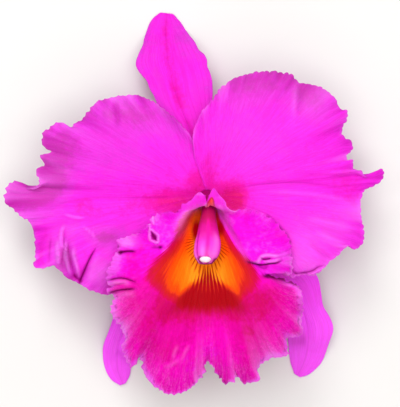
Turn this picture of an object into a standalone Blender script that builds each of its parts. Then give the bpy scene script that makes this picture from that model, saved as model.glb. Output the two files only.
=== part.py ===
"""A picked cattleya orchid bloom, lying on its back with its face up.

+Z is up and +Y runs from the lip to the upper sepal. Every outline below is in millimetres, measured
from the flower axis, the upright line through the top of the ovary, with z above the surface that the
bloom lies on. The bloom rests on the bent-back tips of its three sepals and on its stalk.
"""
import math

import bmesh
import bpy
import numpy as np
from mathutils import Matrix, Vector

MM = 0.001

# Where the flower axis stands, so that the origin is below the middle of the whole bloom.
AXIS_X = 5.4
AXIS_Y = 1.5

# Driving sizes.
PETAL_THICK = 0.9
SEPAL_THICK = 1.0
LIP_THICK = 0.8
OVARY_TOP = 30.0
COLUMN_RADIUS = 3.3
COLUMN_LEAN = 45.0
SEAT_RADIUS = COLUMN_RADIUS + 0.5
PETAL_SEAT = OVARY_TOP + 0.3 + PETAL_THICK / 2
PETAL_ARCH = 4.0
# The stretch of the column's foot that each petal is seated round, in degrees from +X.
LEFT_CLAW = (95, 220)
RIGHT_CLAW = (85, -38)
# The lip's claw is a ring round the foot, open only over the column.
CLAW_RADIUS = 4.3
CLAW_TURN = 172
# The share of a sepal's length past which it lies flat.
REST_FROM = 0.92

# The anther cap's half width, half height and length, and its wall.
CAP_SIZES = (2.7, 1.9, 2.2)
CAP_WALL = 0.6
# One pollen mass's half sizes, how far apart the four stand, and the strap's half sizes.
POLLEN_SIZES = (0.42, 0.62, 0.45)
POLLEN_STEP = 0.7
STRAP_SIZES = (1.3, 0.22, 0.16)

# The column's foot, and the three directions of the throat that leans with it.
FOOT = np.array([0.0, -2.2, 34.8])
LEAN = math.radians(COLUMN_LEAN)
THROAT = np.array([0.0, -math.sin(LEAN), math.cos(LEAN)])
THROAT_UP = np.array([0.0, math.cos(LEAN), math.sin(LEAN)])
SIDE = np.array([1.0, 0.0, 0.0])
COLUMN_TIP = np.array([0.0, -25.2, 57.2])

# Petal edges, from the upper side of the claw round to the lower side.
LEFT_PETAL_EDGE = [
    (-4.5, 16.5, 31), (-7.3, 26.2, 30.5), (-12.5, 32, 30.5), (-19.5, 38, 31), (-25, 41.5, 32),
    (-30, 43.2, 33), (-35, 43, 34), (-40.5, 42, 35.5), (-44.5, 41, 36), (-47.5, 39, 36),
    (-50.5, 35.5, 34.5), (-53, 32.5, 34), (-56.5, 30.5, 35), (-59, 29.5, 36), (-61, 31.2, 36.5),
    (-63.5, 31.2, 36.5), (-66.5, 29, 36), (-69.5, 26, 34.5), (-70, 23.5, 33.5), (-68, 20.5, 33),
    (-66, 19, 33), (-68, 18, 34), (-70.5, 18, 34.5), (-69.5, 15.5, 34), (-68.7, 13.5, 33),
    (-71.5, 12, 33), (-72.5, 10, 32.5), (-70.7, 7, 31.5), (-73, 4, 30), (-76.5, 3.5, 29), (-79.5, 6, 28),
    (-83, 6.2, 27), (-85.2, 3.5, 26.5), (-86, -0.5, 26), (-84, -4.2, 26.5), (-79.5, -7.7, 28),
    (-75, -10.7, 29.5), (-73.5, -14.5, 31), (-73, -20.5, 32), (-72.5, -25, 32.5), (-73, -29, 32.5),
    (-69.5, -29.7, 34), (-66.5, -29.2, 35), (-63, -30, 35.5), (-60, -33.5, 36), (-54.5, -36.2, 36),
    (-48.5, -39.5, 35), (-42, -41, 34), (-34.5, -38, 33), (-24, -27.5, 32), (-12.5, -13, 31),
]
RIGHT_PETAL_EDGE = [
    (-3.2, 17, 33.3), (-5.8, 26, 34), (-4.7, 31, 34.5), (-3, 34.5, 35), (3, 42, 36), (5, 45, 36.5),
    (11, 49.7, 37), (16.5, 52, 37.5), (23, 52.7, 37.5), (29.5, 52.5, 37), (35, 51.5, 36),
    (38.5, 48.5, 35), (42.5, 47.7, 35), (47, 46.7, 35.5), (51.5, 44, 36), (54.5, 41, 35.5),
    (55.7, 37.5, 35), (59, 36, 36), (59, 33, 35), (57.5, 30.5, 33.5), (57.7, 26.5, 33), (60.5, 23.7, 34),
    (61.7, 20.5, 34), (59.7, 18.5, 33), (59.2, 16.2, 32), (61.7, 15.5, 32), (62, 12.3, 31),
    (65.3, 11, 31), (67.5, 8.5, 30), (71, 10.5, 29.5), (74.5, 11.6, 29), (75.2, 9, 28.5), (72, 5.5, 29),
    (66.8, 3, 30), (65, -1, 31), (65, -7, 32), (66, -13, 33), (66.8, -18, 34), (64.7, -21, 34.5),
    (62.5, -22, 35), (60.3, -20.7, 35.5), (57.5, -22, 36), (55, -25, 37), (51.5, -27.5, 37.5),
    (48.5, -30.7, 38), (44, -33.2, 38.5), (40.5, -32.8, 38.5), (36, -33.7, 38), (30.5, -31.5, 37),
    (23, -26, 34), (12, -13, 31.5),
]

# Sepals from root to tip: the midrib, then the half widths on its left and right.
UPPER_SEPAL = [
    (-0.4, 5.2, 27.2, 2.8, 2.8), (-1.2, 9, 27.5, 3.6, 4.4), (-3.3, 16, 27.5, 5, 6.5),
    (-5.9, 25.4, 26.6, 6.5, 9.5), (-8.9, 32.7, 25, 7.5, 12.5), (-12.5, 41.5, 22, 8.8, 15.5),
    (-15.4, 52.4, 16.5, 11, 16.5), (-16.8, 59, 12, 13.6, 15.5), (-17.5, 66.5, 6.5, 10.5, 12),
    (-17.8, 72.5, 2.6, 8.3, 8.8), (-17.6, 77.3, 0.5, 6.3, 5.8), (-17.3, 80.3, 0.5, 3, 2.6),
]
LEFT_SEPAL = [
    (-1.9, -4.8, 27.2, 1.9, 2.8), (-5, -12, 27.2, 4, 4.5), (-10, -22, 26, 6.5, 7),
    (-17, -30.5, 23.2, 8, 8), (-24.4, -38.5, 19.5, 9.5, 8), (-31.9, -49.5, 13.5, 11, 7),
    (-36.3, -58.4, 8.3, 10.5, 6), (-39, -67.4, 3.2, 9.3, 6.3), (-39, -75.5, 0.5, 6.5, 4.8),
    (-37.5, -79.5, 0.5, 4, 3.2), (-36.7, -81.7, 0.5, 1.3, 1.3),
]
RIGHT_SEPAL = [
    (2.9, -4.3, 27.2, 2.8, 1.9), (7, -10, 27.2, 4.5, 4), (13, -17.5, 26.4, 7.5, 6),
    (23.5, -27.7, 23.2, 11, 7.5), (30.5, -34, 20.5, 12.5, 8), (36.5, -41, 17, 13, 8.5),
    (41.5, -49.5, 12.5, 9.3, 9), (43.8, -58, 7.8, 10.8, 9), (43.9, -64.5, 3.8, 8.7, 8.5),
    (42.6, -71, 1, 7, 6.8), (40.8, -75.5, 0.5, 4.2, 4.5), (39.4, -77.8, 0.5, 1.5, 1.5),
]

# The lip's free edge, from the seam over the column, down its left side and up its right side.
LIP_EDGE = [
    (-0.45, -2, 44.2), (-1.5, 1, 47.2), (-3, 2, 48.5), (-4.7, 1, 49), (-6.5, -1.2, 48.5), (-10.3, -3.3, 47),
    (-12, -6.3, 46), (-16.5, -6.7, 45), (-20, -7, 45), (-23.5, -9, 45.5), (-25.2, -12.5, 46),
    (-29.5, -15, 45.5), (-33.5, -16.7, 45), (-37.7, -18.5, 44.5), (-37, -22, 45.5), (-39, -25, 45),
    (-41, -29.5, 45), (-42, -34.5, 45), (-40.7, -37, 44.5), (-41.7, -39.5, 44), (-38.5, -42.5, 44.5),
    (-40.2, -45.2, 44), (-39.5, -48.5, 43.5), (-37.7, -52.5, 44), (-35.2, -56, 43.5), (-33.5, -60, 43),
    (-36, -63.5, 42), (-35, -66, 41.5), (-32, -71, 40), (-28.5, -67.2, 41), (-27, -72.3, 40),
    (-25.5, -75.5, 39.5), (-22, -79.5, 38.5), (-18.5, -82, 37.5), (-15, -83.3, 37), (-11, -82.7, 37),
    (-7, -80.5, 37.5), (-4, -78, 38.5), (-1.5, -74, 40), (0, -68.5, 43), (2, -69.7, 42.5), (3.7, -73.5, 41),
    (6, -77.3, 39.5), (9, -79, 38.5), (11, -78, 38.5), (12, -74.7, 40.5), (13.5, -76.5, 39.5),
    (15.5, -78.3, 39), (19, -77.7, 38.5), (22, -76.5, 39), (20.7, -74, 40), (23, -70, 41), (26.5, -67.7, 42),
    (30.5, -66.7, 42), (33.7, -66.3, 41.5), (33.2, -61.5, 43), (32.5, -59.3, 44), (36, -58.7, 43.5),
    (39.3, -58, 43), (39.7, -52.5, 43.5), (40, -47, 44), (39.5, -42, 44.5), (38.3, -37.7, 45.5),
    (33.7, -35.2, 46.5), (28.5, -33.7, 47), (23.3, -32.3, 48), (26.5, -31, 50.5), (30.5, -31.2, 50),
    (34.5, -32.7, 48), (35.2, -27.5, 47), (34.7, -22, 46), (34.2, -17.5, 45.5), (30.7, -12.8, 45),
    (26.7, -9.3, 44.5), (21.5, -6.5, 44), (16.5, -5, 45), (13, -5.3, 46.5), (11, -6.3, 47),
    (8.7, -4.7, 48.5), (7.3, -1.7, 49.5), (4.7, 1.2, 49.5), (2.7, 3.7, 49), (1.2, 1.2, 47.5),
    (0.45, -1.6, 45.3),
]
# Seen from here, the lip's edge runs evenly round the throat.
LIP_HUB = (0, -15)
# How the lip's wall bulges on its way to the edge: degrees round the throat from the bottom, then x, y, z.
LIP_BULGE = [
    (0, 0, -48, 68), (45, 23, -42, 72), (90, 14, -24, 61), (135, 6, -9, 50), (180, 0.3, 1.5, 42),
]

# How far along an edge its notches and frills are smoothed away for the inner part of the blade.
PETAL_SOFTENING = 0.06
LIP_SOFTENING = 0.05

# Ruffles along an edge: how many, how high, their phase, and how fast they die away inwards.
LEFT_PETAL_WAVES = [(9, 1.4, 0.3, 4), (15, 0.8, 1.7, 6)]
RIGHT_PETAL_WAVES = [(8, 1.4, 0.9, 4), (14, 0.8, 0.2, 6)]
LIP_WAVES = [(13, 1.5, 0.4, 4), (21, 0.9, 2.0, 6)]

# Cells across and along each kind of blade.
PETAL_CELLS = (74, 8)
SEPAL_CELLS = (8, 20)
LIP_CELLS = (110, 10)

# The ovary and the stalk: the middle line, then the radius.
STALK_PATH = [
    (0, 0, OVARY_TOP, 4.8), (0, 0, 26.5, 4.6), (0, -0.8, 22, 4.0), (0, -4, 14.5, 3.6), (0, -11, 8, 3.2),
    (0, -22, 4.4, 3.0), (0, -40, 2.7, 2.7), (0, -62, 2.6, 2.6),
]


def remove_everything():
    for obj in list(bpy.data.objects):
        bpy.data.objects.remove(obj, do_unlink=True)


def through(points, share, flat=2):
    """Points on a smooth curve through the given ones, at shares of its length in its first axes."""
    points = np.array(points, float)
    at = np.concatenate([[0.0], np.cumsum(np.linalg.norm(np.diff(points[:, :flat], axis=0), axis=1))])
    at /= at[-1]
    return on_curve(at, points, share)


def on_curve(at, points, share):
    """A cubic through points, one for each place in at, read at every share."""
    at = np.asarray(at, float)
    slopes = np.gradient(points, at, axis=0)
    share = np.clip(np.atleast_1d(share), at[0], at[-1])
    k = np.clip(np.searchsorted(at, share, side="right") - 1, 0, len(at) - 2)
    width = (at[k + 1] - at[k])[:, None]
    f = (share - at[k])[:, None] / width
    start, end = points[k], points[k + 1]
    return (
        (2 * f**3 - 3 * f**2 + 1) * start
        + (f**3 - 2 * f**2 + f) * width * slopes[k]
        + (3 * f**2 - 2 * f**3) * end
        + (f**3 - f**2) * width * slopes[k + 1]
    )


def softened(edge, share, window):
    """The edge without its notches: each point is an average over a stretch that shrinks to the ends."""
    share = np.atleast_1d(share)
    reach = np.minimum(window, np.minimum(share, 1 - share))
    total = 0
    weights = 0
    for offset in np.linspace(-0.9, 0.9, 13):
        weight = 1 + math.cos(math.pi * offset)
        total = total + weight * through(edge, share + offset * reach)
        weights += weight
    return total / weights


def smooth(low, high, value):
    """0 below low, 1 above high, and an even turn between."""
    f = np.clip((value - low) / (high - low), 0, 1)
    return f * f * (3 - 2 * f)


def settled(edge, share, t, window):
    """The edge that a blade follows at t: broad near its root, with every notch at its rim."""
    broad = softened(edge, share, 2.5 * window)
    soft = softened(edge, share, window)
    fine = through(edge, share)
    return broad + (soft - broad) * smooth(0.3, 0.9, t)[:, None] + (fine - soft) * smooth(0.6, 1, t)[:, None]


def material(name, colour, roughness):
    made = bpy.data.materials.new(name)
    made.use_nodes = True
    shader = made.node_tree.nodes["Principled BSDF"]
    shader.inputs["Base Color"].default_value = (*colour, 1)
    shader.inputs["Roughness"].default_value = roughness
    shader.inputs["Metallic"].default_value = 0
    made.diffuse_color = (*colour, 1)
    return made


def add_object(name, mesh, collection, look):
    obj = bpy.data.objects.new(name, mesh)
    collection.objects.link(obj)
    obj.data.materials.append(look)
    obj.location = Vector((AXIS_X, AXIS_Y, 0)) * MM
    return obj


def blade(name, cells, place, thick, collection, look):
    """A thin blade: a grid laid out by place(s, t), with s across and t along, then thickened."""
    mesh = bpy.data.meshes.new(name)
    bm = bmesh.new()
    bmesh.ops.create_grid(bm, x_segments=cells[0], y_segments=cells[1], size=1.0)
    flat = np.array([vert.co for vert in bm.verts])
    spots = place((flat[:, 0] + 1) / 2, (flat[:, 1] + 1) / 2)
    for vert, spot in zip(bm.verts, spots):
        vert.co = Vector(spot) * MM
    bmesh.ops.triangulate(bm, faces=bm.faces[:], quad_method="SHORT_EDGE")
    bm.to_mesh(mesh)
    bm.free()
    mesh.shade_smooth()
    obj = add_object(name, mesh, collection, look)
    skin = obj.modifiers.new("thickness", "SOLIDIFY")
    skin.thickness = thick * MM
    skin.offset = 0
    return obj


def tube(name, rings, sides, place, collection, look):
    """A closed tube: a ball's rings laid along place(u, turn, spread), with its poles as flat ends."""
    mesh = bpy.data.meshes.new(name)
    bm = bmesh.new()
    bmesh.ops.create_uvsphere(bm, u_segments=sides, v_segments=rings, radius=1.0)
    for vert in bm.verts:
        ring = round(math.acos(max(-1, min(1, vert.co.z))) / math.pi * rings)
        at_pole = ring in (0, rings)
        u = 0.0 if ring <= 1 else (1.0 if ring >= rings - 1 else (ring - 1) / (rings - 2))
        turn = math.atan2(vert.co.y, vert.co.x)
        vert.co = Vector(place(u, turn, 0.0 if at_pole else 1.0)) * MM
    bmesh.ops.recalc_face_normals(bm, faces=bm.faces[:])
    bm.to_mesh(mesh)
    bm.free()
    mesh.shade_smooth()
    return add_object(name, mesh, collection, look)


def seat_arc(turns):
    """Points round the column's foot, on top of the ovary and just clear of both."""
    return np.stack([
        SEAT_RADIUS * np.cos(turns), SEAT_RADIUS * np.sin(turns), np.full_like(turns, PETAL_SEAT),
    ], axis=1)


def petal_place(edge, claw, waves):
    """A fan from an arc round the column's foot out to the petal's edge, arched and then waved."""
    first, last = claw
    peak = 4 / 27

    def place(s, t):
        root = seat_arc(np.radians(first + (last - first) * s))
        t = 1 - (1 - t) ** 1.35
        rim = settled(edge, s, t, PETAL_SOFTENING)
        spots = root * (1 - t)[:, None] + rim * t[:, None]
        free = smooth(0, 0.12, s) * smooth(0, 0.12, 1 - s)
        spots[:, 2] += PETAL_ARCH * free * t * t * (1 - t) / peak
        for count, size, phase, power in waves:
            spots[:, 2] += size * free * t**power * np.sin(2 * math.pi * count * s + phase)
        return spots

    return place


def sepal_place(rows):
    """A strip along the midrib, folded a little at it, with its tip flat on the surface."""

    def place(s, t):
        spine = through(rows, t)
        ahead = through(rows, np.clip(t + 0.01, 0, 1)) - through(rows, np.clip(t - 0.01, 0, 1))
        length = np.linalg.norm(ahead[:, :2], axis=1)
        left = np.stack([-ahead[:, 1], ahead[:, 0], 0 * length], axis=1) / length[:, None]
        v = 1 - 2 * s
        reach = np.where(v > 0, spine[:, 3], spine[:, 4]) * v
        spots = spine[:, :3] + left * reach[:, None]
        away = smooth(0.1, 0.35, t)
        spots[:, 2] += away * (0.11 * np.abs(reach) + 0.5 * np.sin(9 * t) * v * v)
        lying = smooth(0.8, REST_FROM, t)
        spots[:, 2] += lying * (SEPAL_THICK / 2 - spots[:, 2])
        return spots

    return place


def lip_place(s, t):
    """A fan from the ring round the column's foot, through the throat, out to the frilled edge."""
    broad = softened(LIP_EDGE, s, 2 * LIP_SOFTENING)
    turn = np.arctan2(broad[:, 0] - LIP_HUB[0], LIP_HUB[1] - broad[:, 1])
    ring = turn * CLAW_TURN / 180
    root = (
        FOOT
        + CLAW_RADIUS * np.sin(ring)[:, None] * SIDE
        - CLAW_RADIUS * np.cos(ring)[:, None] * THROAT_UP
    )
    rows = np.array(LIP_BULGE, float)
    bulge = on_curve(rows[:, 0], rows[:, 1:], np.degrees(np.abs(turn)))
    bulge[:, 0] *= np.sign(turn)
    rim = settled(LIP_EDGE, s, t, LIP_SOFTENING)
    t = t[:, None]
    spots = root * (1 - t) ** 2 + bulge * 2 * t * (1 - t) + rim * t**2
    t = t[:, 0]
    free = 1 - smooth(125, 160, np.degrees(np.abs(turn)))
    for count, size, phase, power in LIP_WAVES:
        spots[:, 2] += size * free * t**power * np.sin(2 * math.pi * count * s + phase)
    return spots


def column_place(u, turn, spread):
    """The column: upright on the ovary, then bending forward, broad and flat-bellied near its tip."""
    spine = through(
        [(0, 0, 30.3), (0, -0.4, 32.4), (0, -2.8, 35.4), (0, -11, 43.4), (0, -20, 52), COLUMN_TIP],
        [u], flat=3,
    )[0]
    wide, deep = on_curve(
        [0, 0.1, 0.4, 0.75, 0.92, 1],
        np.array([
            (COLUMN_RADIUS, COLUMN_RADIUS), (COLUMN_RADIUS, COLUMN_RADIUS), (3.6, 3.3), (4.9, 3.2),
            (5.0, 2.7), (3.3, 1.6),
        ]), [u],
    )[0]
    bend = LEAN * smooth(0.0, 0.3, u)
    up = np.array([0.0, math.cos(bend), math.sin(bend)])
    across, height = math.cos(turn), math.sin(turn)
    if height < 0:
        height *= 1 - 0.45 * smooth(0.3, 0.7, u)
    return spine + spread * (wide * across * SIDE + deep * height * up)


def make_column(collection, look):
    return tube("column", 12, 18, column_place, collection, look)


def make_anther_cap(collection, look):
    """A rounded cap closing the column's tip, open underneath over the pollinia."""
    centre = COLUMN_TIP + 0.8 * THROAT
    wide, high, long = CAP_SIZES
    mesh = bpy.data.meshes.new("anther_cap")
    bm = bmesh.new()
    bmesh.ops.create_uvsphere(bm, u_segments=14, v_segments=8, radius=1.0)
    bmesh.ops.bisect_plane(
        bm, geom=bm.verts[:] + bm.edges[:] + bm.faces[:], plane_co=(0, 0, 0), plane_no=(0, 0, -1),
        clear_outer=True,
    )
    for vert in bm.verts:
        x, y, z = vert.co
        vert.co = Vector(centre + wide * x * SIDE + high * y * THROAT_UP + long * z * THROAT) * MM
    bm.to_mesh(mesh)
    bm.free()
    mesh.shade_smooth()
    obj = add_object("anther_cap", mesh, collection, look)
    skin = obj.modifiers.new("thickness", "SOLIDIFY")
    skin.thickness = CAP_WALL * MM
    skin.offset = -1
    return obj


def make_pollinia(collection, look):
    """Four small pollen masses in the cap's hollow, joined by the strap that carries them."""
    centre = COLUMN_TIP + 0.9 * THROAT
    axes = Matrix((SIDE, THROAT_UP, THROAT)).transposed().to_4x4()
    masses = bpy.data.collections.new("pollen_masses")
    bpy.context.scene.collection.children.link(masses)

    def piece(name, offset, sizes, bm):
        mesh = bpy.data.meshes.new(name)
        bm.to_mesh(mesh)
        bm.free()
        mesh.transform(axes @ Matrix.Diagonal((*(size * MM for size in sizes), 1)))
        mesh.transform(Matrix.Translation(Vector(centre + offset) * MM))
        mesh.shade_smooth()
        return mesh

    strap_shape = bmesh.new()
    bmesh.ops.create_cube(strap_shape, size=2.0)
    strap_mesh = piece("strap", -0.3 * THROAT, STRAP_SIZES, strap_shape)
    strap = add_object("pollinia", strap_mesh, collection, look)
    for place in (-1.5, -0.5, 0.5, 1.5):
        ball = bmesh.new()
        bmesh.ops.create_uvsphere(ball, u_segments=8, v_segments=6, radius=1.0)
        add_object("mass", piece("mass", POLLEN_STEP * place * SIDE, POLLEN_SIZES, ball), masses, look)
    union = strap.modifiers.new("joined", "BOOLEAN")
    union.operation = "UNION"
    union.operand_type = "COLLECTION"
    union.collection = masses
    bpy.context.view_layer.update()
    graph = bpy.context.evaluated_depsgraph_get()
    strap.data = bpy.data.meshes.new_from_object(strap.evaluated_get(graph))
    strap.modifiers.clear()
    for obj in list(masses.objects):
        bpy.data.objects.remove(obj, do_unlink=True)
    bpy.data.collections.remove(masses)
    return strap


def make_stalk(collection, look):
    """The ovary and the stalk that carries it, one green piece with a plain cut end."""
    curve = bpy.data.curves.new("ovary_and_stalk", "CURVE")
    curve.dimensions = "3D"
    curve.bevel_depth = MM
    curve.bevel_resolution = 3
    curve.use_fill_caps = True
    spline = curve.splines.new("POLY")
    spots = through(STALK_PATH, np.linspace(0, 1, 22), flat=3)
    spots[:, 2] = np.maximum(spots[:, 2], spots[:, 3])
    spline.points.add(len(spots) - 1)
    for point, (x, y, z, radius) in zip(spline.points, spots):
        point.co = (x * MM, y * MM, z * MM, 1)
        point.radius = radius
    return add_object("ovary_and_stalk", curve, collection, look)


def main():
    remove_everything()
    bloom = bpy.data.collections.new("cattleya_bloom")
    bpy.context.scene.collection.children.link(bloom)
    petal = material("petal", (0.80, 0.02, 0.62), 0.45)
    lip = material("lip", (0.70, 0.0, 0.30), 0.4)
    column = material("column", (0.85, 0.10, 0.62), 0.35)
    cap = material("anther_cap", (0.95, 0.90, 0.92), 0.4)
    pollen = material("pollinia", (0.90, 0.70, 0.12), 0.5)
    green = material("stalk", (0.22, 0.38, 0.10), 0.5)

    left = petal_place(LEFT_PETAL_EDGE, LEFT_CLAW, LEFT_PETAL_WAVES)
    right = petal_place(RIGHT_PETAL_EDGE, RIGHT_CLAW, RIGHT_PETAL_WAVES)
    blade("left_petal", PETAL_CELLS, left, PETAL_THICK, bloom, petal)
    blade("right_petal", PETAL_CELLS, right, PETAL_THICK, bloom, petal)
    blade("upper_sepal", SEPAL_CELLS, sepal_place(UPPER_SEPAL), SEPAL_THICK, bloom, petal)
    blade("left_sepal", SEPAL_CELLS, sepal_place(LEFT_SEPAL), SEPAL_THICK, bloom, petal)
    blade("right_sepal", SEPAL_CELLS, sepal_place(RIGHT_SEPAL), SEPAL_THICK, bloom, petal)
    blade("lip", LIP_CELLS, lip_place, LIP_THICK, bloom, lip)
    make_column(bloom, column)
    make_anther_cap(bloom, cap)
    make_pollinia(bloom, pollen)
    make_stalk(bloom, green)


main()
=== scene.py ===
"""The looks of a picked cattleya orchid bloom, lying on its back with its face up.

Every blade is laid out on a finer grid than the solid part's, from the same outline, and then ruffled and
creased. Sizes are in millimetres and places are measured from the flower axis, with z above the surface
that the bloom lies on, unless a comment says otherwise.
"""
import math

import bmesh
import bpy
import numpy as np
from mathutils import Matrix, Vector


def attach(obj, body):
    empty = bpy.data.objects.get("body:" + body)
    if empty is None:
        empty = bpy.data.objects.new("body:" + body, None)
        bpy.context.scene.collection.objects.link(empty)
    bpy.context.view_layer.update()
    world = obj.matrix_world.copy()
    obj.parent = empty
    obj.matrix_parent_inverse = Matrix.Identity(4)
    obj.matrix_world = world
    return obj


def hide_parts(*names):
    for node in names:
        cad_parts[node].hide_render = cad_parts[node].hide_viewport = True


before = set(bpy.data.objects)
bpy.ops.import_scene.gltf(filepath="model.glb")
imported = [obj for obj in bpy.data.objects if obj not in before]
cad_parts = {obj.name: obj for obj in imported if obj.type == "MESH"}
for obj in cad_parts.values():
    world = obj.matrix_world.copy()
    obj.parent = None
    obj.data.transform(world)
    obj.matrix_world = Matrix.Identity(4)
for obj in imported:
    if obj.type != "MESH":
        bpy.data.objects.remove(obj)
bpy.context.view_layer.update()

MM = 0.001

# Where the flower axis stands.
AXIS = np.array([5.4, 1.5, 0.0])

# Driving sizes, as in the solid parts.
OVARY_TOP = 30.0
COLUMN_RADIUS = 3.3
COLUMN_LEAN = 45.0
SEAT_RADIUS = COLUMN_RADIUS - 0.3
PETAL_SEAT = OVARY_TOP + 0.75
PETAL_ARCH = 4.0
LEFT_CLAW = (95, 220)
RIGHT_CLAW = (101, -38)
CLAW_RADIUS = 4.3
CLAW_TURN = 172
REST_FROM = 0.92
SEPAL_SEAT = 0.5
CAP_SIZES = (2.3, 1.55, 1.3)
CAP_WALL = 0.5
POLLEN_SIZES = (0.42, 0.62, 0.45)
POLLEN_STEP = 0.7
STRAP_SIZES = (1.3, 0.22, 0.16)
STRAP_DROP = 0.3

# The column's foot, and the three directions of the throat that leans with it.
FOOT = np.array([0.0, -2.2, 34.8])
LEAN = math.radians(COLUMN_LEAN)
AHEAD = np.array([0.0, -math.sin(LEAN), math.cos(LEAN)])
AHEAD_UP = np.array([0.0, math.cos(LEAN), math.sin(LEAN)])
SIDE = np.array([1.0, 0.0, 0.0])
COLUMN_TIP = np.array([-0.7, -27.5, 56.6])
CAP_SPOT = np.array([-0.8, -25.7, 57.8])

# Petal edges, from the upper side of the claw round to the lower side.
LEFT_PETAL_EDGE = [
    (-4.5, 16.5, 31), (-7.3, 26.2, 30.5), (-12.5, 32, 30.5), (-19.5, 38, 31), (-25, 41.5, 32),
    (-30, 43.2, 33), (-35, 43, 34), (-40.5, 42, 35.5), (-44.5, 41, 36), (-47.5, 39, 36),
    (-50.5, 35.5, 34.5), (-53, 32.5, 34), (-56.5, 30.5, 35), (-59, 29.5, 36), (-61, 31.2, 36.5),
    (-63.5, 31.2, 36.5), (-66.5, 29, 36), (-69.5, 26, 34.5), (-70, 23.5, 33.5), (-68, 20.5, 33),
    (-66, 19, 33), (-68, 18, 34), (-70.5, 18, 34.5), (-69.5, 15.5, 34), (-68.7, 13.5, 33),
    (-71.5, 12, 33), (-72.5, 10, 32.5), (-70.7, 7, 31.5), (-73, 4, 30), (-76.5, 3.5, 29), (-79.5, 6, 28),
    (-83, 6.2, 27), (-85.2, 3.5, 26.5), (-86, -0.5, 26), (-84, -4.2, 26.5), (-79.5, -7.7, 28),
    (-75, -10.7, 29.5), (-73.5, -14.5, 31), (-73, -20.5, 32), (-72.5, -25, 32.5), (-73, -29, 32.5),
    (-69.5, -29.7, 34), (-66.5, -29.2, 35), (-63, -30, 35.5), (-60, -33.5, 36), (-54.5, -36.2, 36),
    (-48.5, -39.5, 35), (-42, -41, 34), (-34.5, -38, 33), (-24, -27.5, 32), (-12.5, -13, 31),
]
RIGHT_PETAL_EDGE = [
    (-5.3, 16.6, 33.6), (-5.9, 26, 34), (-4.7, 31, 34.5), (-3, 34.5, 35), (3, 42, 36), (5, 45, 36.5),
    (11, 49.7, 37), (16.5, 52, 37.5), (23, 52.7, 37.5), (29.5, 52.5, 37), (35, 51.5, 36),
    (38.5, 48.5, 35), (42.5, 47.7, 35), (47, 46.7, 35.5), (51.5, 44, 36), (54.5, 41, 35.5),
    (55.7, 37.5, 35), (59, 36, 36), (59, 33, 35), (57.5, 30.5, 33.5), (57.7, 26.5, 33), (60.5, 23.7, 34),
    (61.7, 20.5, 34), (59.7, 18.5, 33), (59.2, 16.2, 32), (61.7, 15.5, 32), (62, 12.3, 31),
    (65.3, 11, 31), (67.5, 8.5, 30), (71, 10.5, 29.5), (74.5, 11.6, 29), (75.2, 9, 28.5), (72, 5.5, 29),
    (66.8, 3, 30), (65, -1, 31), (65, -7, 32), (66, -13, 33), (66.8, -18, 34), (64.7, -21, 34.5),
    (62.5, -22, 35), (60.3, -20.7, 35.5), (57.5, -22, 36), (55, -25, 37), (51.5, -27.5, 37.5),
    (48.5, -30.7, 38), (44, -33.2, 38.5), (40.5, -32.8, 38.5), (36, -33.7, 38), (30.5, -31.5, 37),
    (23, -26, 34), (12, -13, 31.5),
]

# Sepals from root to tip: the midrib, then the half widths on its left and right.
UPPER_SEPAL = [
    (-0.4, 5.2, 27.2, 2.8, 2.8), (-1.2, 9, 27.5, 3.6, 4.4), (-3.3, 16, 27.5, 5, 6.5),
    (-5.9, 25.4, 26.6, 6.5, 9.5), (-8.9, 32.7, 25, 7.5, 12.5), (-12.5, 41.5, 22, 8.8, 15.5),
    (-15.4, 52.4, 16.5, 11, 16.5), (-16.8, 59, 12, 13.6, 15.5), (-17.5, 66.5, 6.5, 10.5, 12),
    (-17.8, 72.5, 2.6, 8.3, 8.8), (-17.6, 77.3, 0.5, 6.3, 5.8), (-17.3, 80.3, 0.5, 3, 2.6),
]
LEFT_SEPAL = [
    (-1.9, -4.8, 27.2, 1.9, 2.8), (-5, -12, 27.2, 4, 4.5), (-10, -22, 26, 6.5, 7),
    (-17, -30.5, 23.2, 8, 8), (-24.4, -38.5, 19.5, 9.5, 8), (-31.9, -49.5, 13.5, 11, 7),
    (-36.3, -58.4, 8.3, 10.5, 6), (-39, -67.4, 3.2, 9.3, 6.3), (-39, -75.5, 0.5, 6.5, 4.8),
    (-37.5, -79.5, 0.5, 4, 3.2), (-36.7, -81.7, 0.5, 1.3, 1.3),
]
RIGHT_SEPAL = [
    (2.9, -4.3, 27.2, 2.8, 1.9), (7, -10, 27.2, 4.5, 4), (13, -17.5, 26.4, 7.5, 6),
    (23.5, -27.7, 23.2, 11, 7.5), (30.5, -34, 20.5, 12.5, 8), (36.5, -41, 17, 13, 8.5),
    (41.5, -49.5, 12.5, 9.3, 9), (43.8, -58, 7.8, 10.8, 9), (43.9, -64.5, 3.8, 8.7, 8.5),
    (42.6, -71, 1, 7, 6.8), (40.8, -75.5, 0.5, 4.2, 4.5), (39.4, -77.8, 0.5, 1.5, 1.5),
]

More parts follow.
